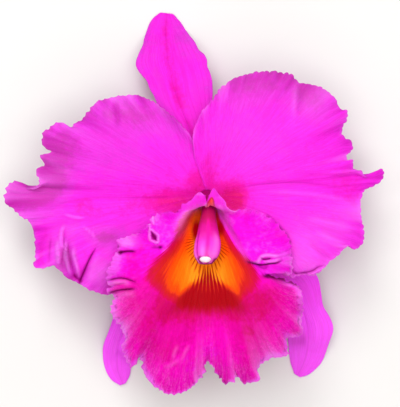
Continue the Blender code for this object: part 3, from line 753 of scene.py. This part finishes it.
# How much light soaks in, and how far red, green and blue light go in each tissue, in metres.
BLADE_SOAKING = 0.35
PLAIN_SOAKING = 0.1
BLADE_DEPTHS = (0.003, 0.0008, 0.0022)
CAP_DEPTHS = (0.001, 0.0005, 0.0005)
COLUMN_DEPTHS = (0.001, 0.0004, 0.0008)
STALK_DEPTHS = (0.0006, 0.001, 0.0003)

# Dark lines round the throat: the comb below the column's tip, and those beside it.
COMB_LINES = 80
SIDE_LINES = 46

# The column's stripes: place round it, half width, strength, start and colour. The magenta one down its
# middle is its own colour, the pale ones are painted highlights, and those at places 0 and 0.5 are painted
# shade along the sides of its tip.
COLUMN_STRIPES_AND_PAINTED_LIGHT = [
    (0.245, 0.045, 0.85, 0.4, (0.94, 0.002, 0.36)), (0.31, 0.06, 0.7, 0.74, (0.85, 0.11, 0.74)),
    (0.13, 0.08, 0.7, 0.6, (0.86, 0.12, 0.64)), (0.445, 0.04, 0.6, 0.6, (0.85, 0.20, 0.74)),
    (0.385, 0.022, 0.85, 0.55, (0.40, 0, 0.24)), (0, 0.045, 0.9, 0.72, (0.22, 0, 0.08)),
    (0.5, 0.04, 0.9, 0.8, (0.22, 0, 0.08)),
]
STRIPE_FADE = 0.16


def veins(look, coarse, fine, along):
    """Veins that run from the root to the rim and branch on the way: 1 on a vein."""
    wide = look.line(look.cloud(look.grid(coarse, along), 1.0, 1.0), 0.05)
    thin = look.line(look.cloud(look.grid(fine, 2 * along), 1.0, 1.5), 0.07)
    out = look.between(look.mark("along"), 0.25, 0.8)
    return look.math("MAXIMUM", wide, look.times(thin, out))


def petal_look(name, stops, vein_sizes):
    """Waxy magenta tissue, mottled and veined, with crinkled rims, painted glints on its cells, and painted
    light and shade.
    """
    look = Look(name)
    spot = look.place()
    blotch = look.cloud(spot, *PETAL_BLOTCHES)
    tone = look.swayed(look.mark("tone"), blotch, 0.3)
    tone = look.swayed(tone, look.cloud(spot, *PETAL_MOTTLE), 0.35)
    vein = veins(look, *vein_sizes)
    crinkle = look.between(look.cloud(look.grid(330.0, 7.0), 1.0, 2.0, 0.6), 0.5, 0.64)
    crinkle = look.times(crinkle, look.mark("rim"))
    grain = look.cloud(spot, *CELL_GRAIN)
    # The veins and crinkles are the petal's own colour; the bright grains are painted glints, and the last
    # two tints are painted light and painted shade.
    colour = look.tinted(
        look.ramp(tone, stops),
        (vein, 0.3, (0.58, 0, 0.38)),
        (crinkle, 0.4, (0.50, 0.006, 0.34)),
        (look.between(grain, 0.62, 0.8), 0.2, (1, 0.16, 0.95)),
        (look.mark("light"), 0.4, (1, 0.22, 0.95)),
        (look.mark("painted_shade"), 1.0, (0.26, 0, 0.16)),
    )
    normal = look.bump(vein, 0.00012, 0.5)
    normal = look.bump(crinkle, 0.00012, 0.6, normal)
    normal = look.bump(grain, 0.00006, 0.6, normal)
    rough = look.between(blotch, 0.3, 0.7, 0.38, 0.55)
    return look.blade(colour, rough, normal, 0.04, (1, 0.5, 1), 0.06)


def lip_look():
    """A yellow and orange throat with deep red lines, a crimson heart, a veined magenta blade, painted
    glints, and painted light and shade.
    """
    look = Look("lip")
    spot = look.place()
    lace = look.mark("lace")
    blotch = look.cloud(spot, *LIP_BLOTCHES)
    streak = look.cloud(look.grid(130.0, 3.0), 1.0, 2.0)
    tone = look.swayed(look.mark("tone"), blotch, 0.3)
    tone = look.swayed(tone, look.cloud(spot, *LIP_MOTTLE), 0.4)
    vein = veins(look, *LIP_VEINS)
    pale = look.line(look.cloud(look.grid(420.0, 11.0), 1.0, 2.0), 0.04)
    blade = look.tinted(
        look.ramp(tone, LIP_STOPS),
        (vein, 0.18, (0.46, 0, 0.20)),
        (look.times(pale, lace), 0.22, (1, 0.25, 0.75)),
    )
    warm = look.swayed(look.mark("warm"), streak, 0.3)
    colour = look.mix(look.between(warm, 0.02, 0.22), blade, look.ramp(warm, THROAT_STOPS))
    comb = look.times(look.times(look.rays(COMB_LINES), 0.42), look.mark("rays"))
    heart = look.swayed(look.math("ADD", look.mark("heart"), comb), streak, 0.3)
    # The heart mark also carries painted shade in the recesses beside the column.
    colour = look.mix(look.between(heart, 0.15, 0.9), colour, (0.33, 0, 0.004))
    lines = look.between(look.swayed(look.rays(SIDE_LINES), blotch, 1.6), 0.0, 0.85)
    grain = look.cloud(spot, *CELL_GRAIN)
    speck = look.cloud(spot, *LIP_SPECKS)
    # The deep red lines and the darker flecks are the lip's own colour; the bright grains and specks are
    # painted glints, and the last two tints are painted light and painted shade.
    colour = look.tinted(
        colour,
        (look.times(lines, look.mark("lines")), 0.75, (0.34, 0.006, 0)),
        (look.times(look.between(grain, 0.62, 0.8), lace), 0.15, (1, 0.2, 0.9)),
        (look.times(look.between(speck, 0.56, 0.70), lace), 0.3, (1, 0.10, 0.72)),
        (look.times(look.between(speck, 0.30, 0.44, 1.0, 0.0), lace), 0.35, (0.44, 0, 0.20)),
        (look.mark("light"), 0.45, (1, 0.30, 0.92)),
        (look.mark("painted_shade"), 1.0, (0.16, 0, 0.08)),
    )
    normal = look.bump(grain, 0.00006, 0.6, look.bump(vein, 0.00015, 0.6))
    rough = look.between(blotch, 0.3, 0.7, 0.35, 0.5)
    return look.blade(colour, rough, normal, 0.01, (1, 0.5, 0.9), 0.03)


def plain_look(name, low, high, rough):
    """A waxy tissue between two colours, with a fine grain."""
    look = Look(name)
    spot = look.place()
    cloud = look.cloud(spot, 500.0, 3.0, 0.6)
    colour = look.mix(look.between(cloud, 0.3, 0.7), low, high)
    normal = look.bump(look.cloud(spot, 3000.0, 2.0), 0.00005, 0.5)
    return look.tissue(colour, rough, PLAIN_SOAKING, CAP_DEPTHS, normal)


def column_look():
    """Glossy column tissue: darkest at its foot, as painted shade under the lip's hood, paling to lilac at
    its tip, with painted highlights and shade in stripes.
    """
    look = Look("column")
    spot = look.place()
    along, across = look.mark("along"), look.mark("across")
    colour = look.ramp(look.swayed(along, look.cloud(spot, 400.0, 3.0), 0.12), COLUMN_STOPS)
    for place, width, share, start, tint in COLUMN_STRIPES_AND_PAINTED_LIGHT:
        stripe = look.between(look.away(across, place), 0.0, width, share, 0.0)
        colour = look.tinted(colour, (stripe, look.between(along, start, start + STRIPE_FADE), tint))
    normal = look.bump(look.cloud(spot, 2500.0, 2.0), 0.00005, 0.4)
    return look.tissue(colour, 0.35, PLAIN_SOAKING, COLUMN_DEPTHS, normal, {"Specular IOR Level": 0.2})


def stalk_look():
    """Streaked green, blushed where the bloom begins and pale at the cut."""
    look = Look("stalk")
    along = look.mark("along")
    streak = look.add("ShaderNodeMapping", {"Vector": look.place(), "Scale": (900, 120, 300)})
    streak = look.cloud(streak, 1.0, 3.0)
    blush = look.between(along, 0.0, 0.22, 0.55, 0.0)
    colour = look.mix(blush, look.ramp(streak, STALK_STOPS), (0.40, 0.06, 0.20))
    colour = look.mix(look.between(along, 0.997, 1.0), colour, (0.55, 0.60, 0.30))
    return look.tissue(colour, 0.42, PLAIN_SOAKING, STALK_DEPTHS, look.bump(streak, 0.0001, 0.5))


# How thick the petals and the lip are at root, middle and rim, and the sepals inside and at the rim.
PETAL_THICK = (0.9, 0.7, 0.28)
LIP_THICK = (0.8, 0.6, 0.25)
SEPAL_THICK = (1.0, 0.35)

# Where a blade's tone differs, or light or shade is painted on it: centre, half width and half height, and
# strength.
# Near the column's foot, the petals' lowest tones are painted shade in the hollows behind the lip's flaps
# and in the V where the petals meet.
LEFT_PETAL_TONES = [
    (-14.7, -3, 11, 5, -0.32), (-3, 5, 5, 8, -0.3), (-43, -17, 9, 5, 0.5), (-76, 1, 14, 11, 0.55),
    (-33, 36, 24, 10, 0.45), (-60, -26, 5, 7, 0.6), (-66, 20, 12, 12, 0.45), (-30, -8, 8, 6, -0.08),
    (-53, -20, 5, 8, -0.2), (-44, -33, 6, 6, 0.35), (-62, 5, 6, 8, 0.2), (-56, -4, 14, 6, -0.1),
    (-48, 20, 15, 12, 0.22), (-10, 20, 6, 10, 0.12),
]
RIGHT_PETAL_TONES = [
    (9.6, 0.5, 8, 6.5, -0.5), (12, -2.5, 3.5, 4, -0.3), (1, 10, 4, 9, -0.2), (22, 48, 26, 9, 0.45),
    (58, 3, 9, 9, -0.18), (47, 40, 9, 9, 0.3), (40, -30, 14, 5, 0.12), (44, -6, 14, 14, 0.08),
]
# Painted light patches on the petals.
PAINTED_PETAL_LIGHTS = [
    (41, -22, 8, 10, 0.55), (-44, -33, 6, 6, 0.4), (36, -29, 3, 5, 0.3), (56, -14, 8, 8, 0.25),
    (-64, -20, 3, 8, 0.3), (-57, -14, 5, 3, 0.3), (18, 22, 17, 15, 0.16), (45, 41, 8, 8, 0.2),
]
LIP_TONES = [
    (-31, -29, 9, 9, -0.12), (-38, -27, 4, 6, 0.3), (-40, -46, 5, 12, 0.05), (-16, -18, 6, 8, 0.05),
    (26, -14, 9, 8, -0.12), (28, -41, 9, 6, -0.25), (-20, -60, 9, 12, -0.2), (20, -58, 9, 12, -0.18),
    (1, -57, 5, 12, 0.04), (-30, -52, 8, 10, -0.15),
]
# Painted highlights on the left lobe's ridge and rim.
PAINTED_LOBE_LIGHTS = [(-33, -18, 4, 3, 0.5), (-38, -27, 2.5, 6, 0.15)]
# Painted shadow under the curled loop, where the blade also dips.
CURL_SHADED_HOLLOWS = [(-21.6, -20.9, 1.6, 0.9, 0.6), (-19.4, -21.0, 0.9, 0.9, 1.1)]
# Painted shade in the throat's recesses beside the column.
PAINTED_THROAT_SHADE = [(-4.6, -14.0, 2.4, 4.8, 1.1), (5.9, -13.2, 2.0, 3.8, 0.95)]


def blade_thickness(s, t, root, middle, rim):
    """Thick at the root, thinner across the blade and fine at every free edge."""
    side = np.minimum(s, 1 - s)
    thick = root + (middle - root) * smooth(0, 0.3, t)
    return thick + (rim - thick) * np.maximum(smooth(0.75, 1, t), 1 - smooth(0, 0.02, side))


def from_rim(spots):
    """How far every spot is from the free edge of its own line."""
    return np.linalg.norm(spots - spots[:, -1:], axis=2)


def petal_marks(spots, t, tones, painted_shade, light, seed):
    x, y = spots[..., 0], spots[..., 1]
    inward = from_rim(spots)
    # The rim is partly a duller lilac in the petal's own tone and partly painted highlight.
    rim = bell(inward, 1.3) * (0.7 + 0.3 * noise2(x / 3, y / 3, seed + 1))
    return {
        "along": t,
        "tone": 0.5 + 0.25 * rim + 0.09 * noise2(x / 14, y / 14, seed) + blobs(x, y, tones),
        # Painted shade from the folds, ruffles and shadows, and painted light from the folds, ruffles, rim
        # and patches.
        "painted_shade": 0.5 * painted_shade,
        "light": 0.9 * light + 0.4 * rim + blobs(x, y, PAINTED_PETAL_LIGHTS),
        "rim": bell(inward, 4.5) * (0.6 + 0.4 * noise2(x / 6, y / 6, seed + 2)),
    }


def make_petals():
    look = petal_look("petal", PETAL_STOPS, PETAL_VEINS)
    for node, edge, claw, waves, rows, shades, tones, seed in (
        ("left_petal", LEFT_PETAL_EDGE, LEFT_CLAW, LEFT_PETAL_WAVES, LEFT_PETAL_FOLDS, [],
         LEFT_PETAL_TONES, 11),
        ("right_petal", RIGHT_PETAL_EDGE, RIGHT_CLAW, RIGHT_PETAL_WAVES, RIGHT_PETAL_FOLDS,
         RIGHT_PETAL_SHADOWS, RIGHT_PETAL_TONES, 31),
    ):
        spots, s, t, painted_shade, light = petal_spots(edge, claw, waves, rows, seed)
        painted_shade = painted_shade + strokes(spots[..., 0], spots[..., 1], shades)
        marks = petal_marks(spots, t, tones, painted_shade, light, seed + 9)
        mesh = grid_mesh(node + "_blade", spots, blade_thickness(s, t, *PETAL_THICK), (s, t), marks)
        dress(mesh, node, look)


def make_sepals():
    upper = petal_look("upper_sepal", PETAL_STOPS, SEPAL_VEINS)
    lower = petal_look("lower_sepal", LOWER_SEPAL_STOPS, SEPAL_VEINS)
    inside, rim = SEPAL_THICK
    # Each sepal: its node, its rows, its painted shadows, its look, the painted shade at its root, the
    # painted light on it, and its seed.
    for node, rows, shades, look, painted_root_shade, lit, seed in (
        ("upper_sepal", UPPER_SEPAL, [], upper, 0.22, 0, 51),
        ("left_sepal", LEFT_SEPAL, LEFT_SEPAL_SHADOWS, lower, 0, 0.35, 61),
        ("right_sepal", RIGHT_SEPAL, RIGHT_SEPAL_SHADOWS, lower, 0, 0.35, 71),
    ):
        spots, s, t = sepal_spots(rows, seed)
        side = np.abs(1 - 2 * s)
        thick = inside + (rim - inside) * smooth(0.7, 1, side) * smooth(0.05, 0.2, t)
        tone = 0.55 + 0.1 * smooth(0.7, 1, side) + 0.1 * noise2(s * 4, t * 8, seed)
        # Painted shade in the midrib's groove and, on the upper sepal, at the root where the petals lie over
        # it.
        painted_shade = 0.14 * bell(side, 0.05) + painted_root_shade * (1 - smooth(0.3, 0.65, t))
        marks = {
            "along": t,
            # The tone is lower along the midrib, and lower towards the root as painted shade under the
            # petals and the lip.
            "tone": tone - 0.1 * bell(side, 0.25) - 0.1 * (1 - smooth(0.1, 0.65, t)),
            "painted_shade": painted_shade + strokes(spots[..., 0], spots[..., 1], shades),
            # Painted light on the lower sepals, which lie in the lip's shade.
            "light": lit + lit * smooth(0.5, 0.9, t),
            "rim": 0 * t,
        }
        dress(grid_mesh(node + "_blade", spots, thick, (s, t), marks), node, look)


def curled(spots):
    """Raises the loop on the left lobe, and returns its painted shade in the hole and under the loop, and
    its painted highlight on the loop.
    """
    x, y, z = np.moveaxis(spots, -1, 0)
    far, share = nearest(CURL, x, y)
    hole_radius = 0.3 + 0.95 * np.sin(math.pi * share**1.3)
    loop = bell(far - hole_radius - 0.55, 0.38)
    hole = bell(far, hole_radius, 4)
    hollow = blobs(x, y, CURL_SHADED_HOLLOWS)
    z += 1.2 * loop - 1.6 * hole - 0.6 * hollow
    return 0.95 * hole + hollow, 0.9 * loop


def throat_marks(x, y):
    """The warm throat, its crimson heart with painted shade in the recesses beside the column, the comb, and
    the lines beside the column.
    """
    rows = np.array(THROAT)[::-1]
    left, right = (np.interp(y, rows[:, 0], rows[:, column]) for column in (1, 2))
    hood = smooth(-6.5, -3, y)
    aside = x - 2.0 * hood
    warm = MOST_WARM - 0.5 * hood - 1.05 * np.abs(aside) / np.where(aside < 0, left, right)
    warm = warm * (1 - smooth(-1.5, 0.8, y))
    warm = np.minimum(warm, MOST_WARM - 0.62 * smooth(-20, -8, y))
    lower = y + np.interp(np.abs(x - 1.3), *THROAT_CORNERS)
    heart = 1.25 * smooth(-4.5, 5.0, -30.7 - 0.9 * np.abs(x - 0.4) - y) * np.clip((y + 52) / 11, 0, 1)
    outside = beside_column(x, y)
    return {
        "warm": np.minimum(warm, np.interp(lower, *THROAT_FOOT)),
        # The heart's crimson also paints the shade in the throat's recesses beside the column.
        "heart": np.maximum(heart, blobs(x, y, PAINTED_THROAT_SHADE)),
        "rays": bell(x - 0.6, 6.5, 4) * band(y, -42, -39, -30, -27),
        "spin": np.arctan2(x, -(y + 17.2)) / (2 * math.pi) + 0.5,
        "lines": band(outside, -0.6, 0.2, 2.4, 5.0) * (1 - smooth(-20, -16, y + 0.25 * x)),
    }


def lip_marks(spots, s, t, painted_shade, light):
    x, y = spots[..., 0], spots[..., 1]
    throat = throat_marks(x, y)
    side_lobe = smooth(-42, -26, y)
    flank = smooth(17, 28, np.abs(x)) * (1 - side_lobe)
    # The flaps are a little lower in tone and get painted light.
    flap = smooth(-9, -4, y) * smooth(0.3, 3.5, np.abs(x) + 0.3 * y + 1)
    inward = from_rim(spots)
    # The pale margin is partly its own paler colour and partly painted highlight on the frilled rim.
    pale = bell(inward, 1.3 + 2.2 * flank + 0.5 * noise(s * 40, LIP_SEED + 12))
    pale = pale * (1 - 0.5 * side_lobe) * (1 - 0.85 * smooth(-31, -22, y))
    # Painted shade in the notches between the rim's teeth.
    notch_shade = smooth(0.35, 0.7, noise(s * 170, LIP_SEED + 14)) * bell(inward - 1.5 - 1.5 * flank, 0.7)
    blush = np.exp(-((x / 24) ** 4) - ((y + 44.5) / 10.5) ** 2)
    tone = 0.47 + 0.12 * noise2(x / 8, y / 8, LIP_SEED + 10)
    tone = tone + 0.1 * bell(x - 1, 6) * band(y, -70, -50, -50, -40)
    tone = tone + 0.34 * side_lobe - 0.5 * blush + 0.42 * pale - 0.08 * flap
    # Painted light on the flaps, the pale margin, the left lobe's ridge and rim, and where shade falls on
    # the lip.
    light = light + 0.15 * flap + 0.95 * pale * (0.65 + 0.35 * noise(s * 90, LIP_SEED + 13))
    light = light + blobs(x, y, PAINTED_LOBE_LIGHTS) + strokes(x, y, PAINTED_LIP_LIGHTS)
    return {
        **throat,
        "along": t,
        "tone": tone + blobs(x, y, LIP_TONES),
        "lace": bell(inward, 14) * (1 - side_lobe),
        # Painted shade below the right lobe and in the notches; painted light on the steep wall along the
        # left edge of the throat's warm colour.
        "painted_shade": painted_shade + strokes(x, y, LIP_SHADOWS) + 0.55 * notch_shade * (1 - side_lobe),
        "light": light + 0.8 * bell(throat["warm"] - 0.2, 0.2) * smooth(-20, -8, y) * (x < 0),
    }


def make_lip():
    spots, s, t, turn, painted_shade, light = lip_spots(LIP_SEED)
    curl_shade, curl_highlight = curled(spots)
    marks = lip_marks(spots, s, t, 0.75 * painted_shade + curl_shade, 0.8 * light + curl_highlight)
    thick = blade_thickness(s, t, *LIP_THICK)
    mesh = grid_mesh("lip_blade", spots, thick, (turn / 360 + 0.5, t), marks)
    dress(mesh, "lip", lip_look())


def column_place(u, turn, spread):
    """The column: upright on the ovary, then bending forward, broad and flat below near its tip."""
    spine = through(COLUMN_SPINE, [u], flat=3)[0]
    wide, deep = on_curve(COLUMN_SHARES, np.array(COLUMN_HALVES), [u])[0]
    bend = LEAN * smooth(0.0, 0.3, u)
    up = np.array([0.0, math.cos(bend), math.sin(bend)])
    across, height = math.cos(turn), math.sin(turn)
    keel = 1 - 0.05 * smooth(0.3, 0.6, u) * math.exp(-((across / 0.28) ** 2)) * (height > 0)
    if height < 0:
        height *= 1 - 0.45 * smooth(0.3, 0.7, u)
    return spine + spread * (wide * across * SIDE + keel * deep * height * up)


def make_column():
    mesh = ring_mesh("column_club", *COLUMN_CELLS, column_place)
    dress(mesh, "column", column_look())


def make_cap():
    """A rounded cap on the column's tip, open underneath."""
    wide, high, long = CAP_SIZES
    mesh, bm = begun("anther_cap_shell")
    bmesh.ops.create_uvsphere(bm, u_segments=48, v_segments=28, radius=1.0)
    bmesh.ops.bisect_plane(
        bm, geom=bm.verts[:] + bm.edges[:] + bm.faces[:], plane_co=(0, 0, 0), plane_no=(0, 0, -1),
        clear_outer=True,
    )
    for vert in bm.verts:
        x, y, z = vert.co
        seam = 1 - 0.06 * math.exp(-((x / 0.12) ** 2))
        spot = CAP_SPOT + wide * x * SIDE + high * y * seam * AHEAD_UP + long * z * seam * AHEAD
        vert.co = Vector(AXIS + spot) * MM
    done(bm, mesh)
    look = plain_look("anther_cap", (0.86, 0.62, 0.74), (0.97, 0.84, 0.90), 0.3)
    cap = dress(mesh, "anther_cap", look)
    skin = cap.modifiers.new("thickness", "SOLIDIFY")
    skin.thickness = CAP_WALL * MM
    skin.offset = -1


def make_pollinia():
    """Four pollen masses in the cap's hollow, joined by a strap."""
    centre = AXIS + CAP_SPOT + 0.1 * AHEAD
    axes = Matrix((SIDE, AHEAD_UP, AHEAD)).transposed().to_4x4()
    mesh, bm = begun("pollen_masses")
    strap = Matrix.Translation((0, 0, -STRAP_DROP)) @ Matrix.Diagonal((*STRAP_SIZES, 1))
    bmesh.ops.create_cube(bm, size=2.0, matrix=strap)
    bmesh.ops.subdivide_edges(bm, edges=bm.edges[:], cuts=3, use_grid_fill=True)
    for place in (-1.5, -0.5, 0.5, 1.5):
        mass = Matrix.Translation((POLLEN_STEP * place, 0, 0)) @ Matrix.Diagonal((*POLLEN_SIZES, 1))
        bmesh.ops.create_uvsphere(bm, u_segments=24, v_segments=16, radius=1.0, matrix=mass)
    bmesh.ops.transform(bm, verts=bm.verts, matrix=Matrix.Translation(Vector(centre)) @ axes)
    bmesh.ops.scale(bm, verts=bm.verts, vec=(MM, MM, MM))
    done(bm, mesh)
    look = plain_look("pollinia", (0.80, 0.52, 0.05), (0.95, 0.72, 0.15), 0.5)
    dress(mesh, "pollinia", look)


def stalk_place(u, turn, spread):
    """The ovary, with its six ribs, and the stalk that it narrows into."""
    before, row, after = through(STALK_PATH, [u - 0.01, u, u + 0.01], flat=3)
    up = np.cross(SIDE, unit((after - before)[:3]))
    rib = 1 - 0.055 * (1 - smooth(0.15, 0.5, u)) * (0.5 + 0.5 * math.cos(6 * turn)) ** 2
    radius = row[3] * spread * rib * STALK_EASE
    spot = row[:3] + radius * (math.cos(turn) * SIDE + math.sin(turn) * up)
    spot[2] = max(spot[2], STALK_LOWEST)
    return spot


def make_stalk():
    mesh = ring_mesh("ovary_and_stalk_skin", *STALK_CELLS, stalk_place)
    dress(mesh, "ovary_and_stalk", stalk_look())


# The stage, in metres: the floor's depth, and each lamp's spot, size and power.
FLOOR_DROP = 0.0002
LAMPS = [
    ("key", (-0.2, 0.6, 0.85), 0.4, 4.0), ("front", (0.05, 0.05, 1.2), 1.0, 11.0),
    ("fill", (0.05, -0.6, 0.6), 0.5, 0.7),
]
WORLD_STRENGTH = 0.46
CAMERA_SPOT = (0.00243, -0.00125, 1.04)
CAMERA_LENS = 210.6


def make_stage():
    """A plain pale floor, soft lights, and a camera looking straight down."""
    mesh = bpy.data.meshes.new("floor")
    corners = [(x, y, -FLOOR_DROP) for x, y in ((-3, -3), (3, -3), (3, 3), (-3, 3))]
    mesh.from_pydata(corners, [], [(0, 1, 2, 3)])
    floor = placed(mesh)
    mesh.materials.append(Look("floor").finished((0.72, 0.71, 0.69), 0.8))
    for name, spot, size, power in LAMPS:
        light = bpy.data.lights.new(name, "AREA")
        light.size = size
        light.energy = power
        lamp = placed(light)
        lamp.location = spot
        lamp.rotation_euler = (-Vector(spot)).to_track_quat("-Z", "Y").to_euler()
    world = bpy.data.worlds.new("studio")
    world.use_nodes = True
    background = world.node_tree.nodes["Background"]
    background.inputs["Color"].default_value = (1, 1, 1, 1)
    background.inputs["Strength"].default_value = WORLD_STRENGTH
    bpy.context.scene.world = world
    bpy.context.scene.view_settings.view_transform = "Standard"
    camera = placed(bpy.data.cameras.new("camera"))
    camera.location = CAMERA_SPOT
    camera.data.lens = CAMERA_LENS
    bpy.context.scene.camera = camera


make_stage()
make_petals()
make_sepals()
make_lip()
make_column()
make_cap()
make_pollinia()
make_stalk()

bpy.context.view_layer.update()
